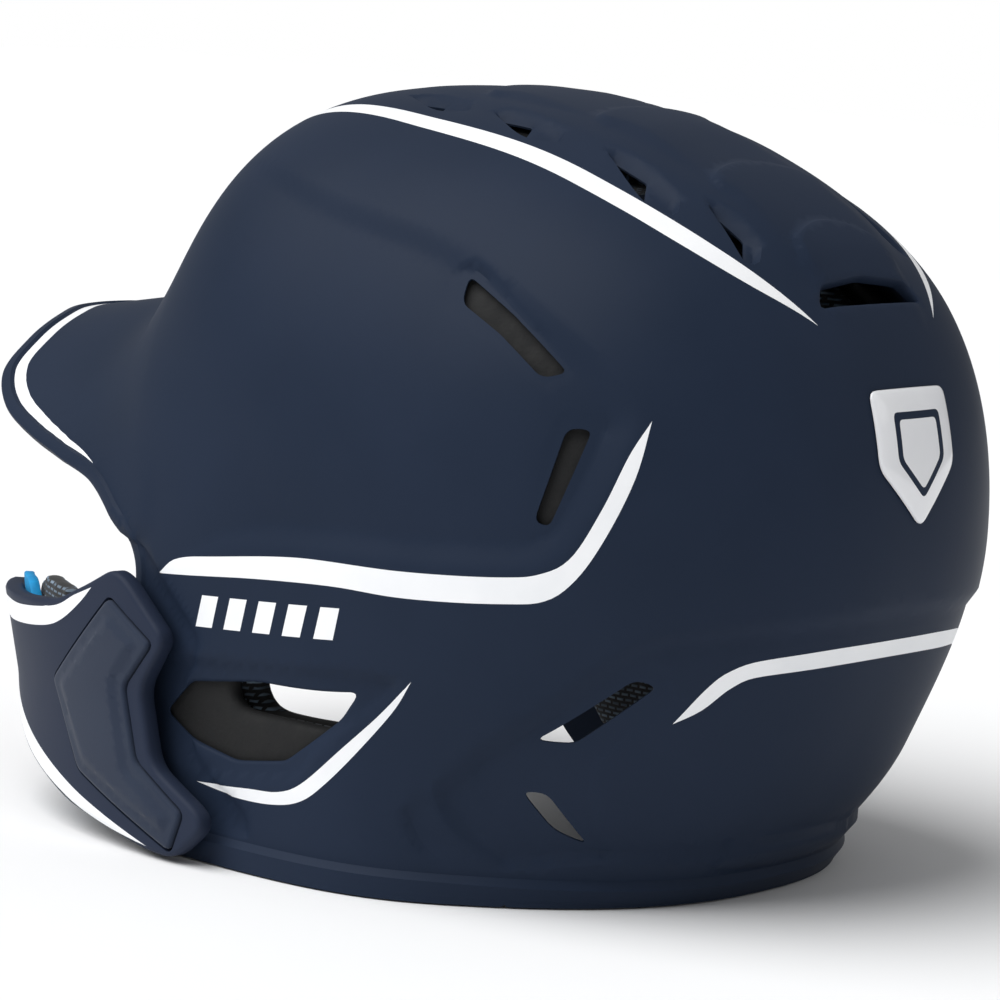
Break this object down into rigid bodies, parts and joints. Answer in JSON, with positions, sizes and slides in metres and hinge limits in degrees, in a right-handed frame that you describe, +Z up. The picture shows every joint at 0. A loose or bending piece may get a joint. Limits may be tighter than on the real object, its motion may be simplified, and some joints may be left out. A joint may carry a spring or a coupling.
{
  "type": "batting helmet",
  "caption": "Batting helmet with two ear flaps, a padded liner, air vents, a forward bill and an adjustable jaw guard over the left cheek under a snap-in rubber cover.",
  "frame": {"origin": "middle of the head opening, in the plane of the rim's flat underside, straight under the centre of the dome", "axes": "+Z up; the bill points toward -Y and the back of the head is +Y; the wearer's left, with the jaw guard, is +X"},
  "size_m": [0.2131, 0.3035, 0.211],
  "materials": {
    "shell_paint": "matt navy paint over injection moulded ABS, with painted white stripes",
    "emblem": "glossy domed white badge",
    "guard_plastic": "matt moulded navy, with white edge stripes",
    "cover_rubber": "soft matt moulded rubber",
    "blue_foam": "cut closed-cell foam",
    "black_foam": "moulded closed-cell foam",
    "pad_fabric": "open knit mesh over soft foam",
    "steel": "zinc plated steel"
  },
  "bodies": {
    "helmet": {"shell": "shell_paint", "rear_emblem": "emblem", "guard_screw_1": "steel", "guard_screw_2": "steel", "guard_nut_1": "steel", "guard_nut_2": "steel", "foam_front": "black_foam", "foam_crown": "black_foam", "foam_side_left": "black_foam", "foam_side_right": "black_foam", "foam_rear": "black_foam", "foam_ear_left": "black_foam", "foam_ear_right": "black_foam", "pad_front": "pad_fabric", "pad_crown": "pad_fabric", "pad_side_left": "pad_fabric", "pad_side_right": "pad_fabric", "pad_rear": "pad_fabric", "pad_ear_left": "pad_fabric", "pad_ear_right": "pad_fabric"},
    "guard": {"jaw_guard": "guard_plastic", "jaw_guard_pad_base": "blue_foam", "jaw_guard_pad": "pad_fabric"},
    "cover": {"jaw_guard_cover": "cover_rubber"}
  },
  "joints": [
    {"name": "jaw_guard_slide", "type": "slide", "parent": "helmet", "child": "guard", "axis": [0, 1, 0], "range_m": [-0.002, 0.005]},
    {"name": "jaw_cover_pull", "type": "slide", "parent": "guard", "child": "cover", "axis": [1, 0, 0], "range_m": [0, 0.02]}
  ]
}
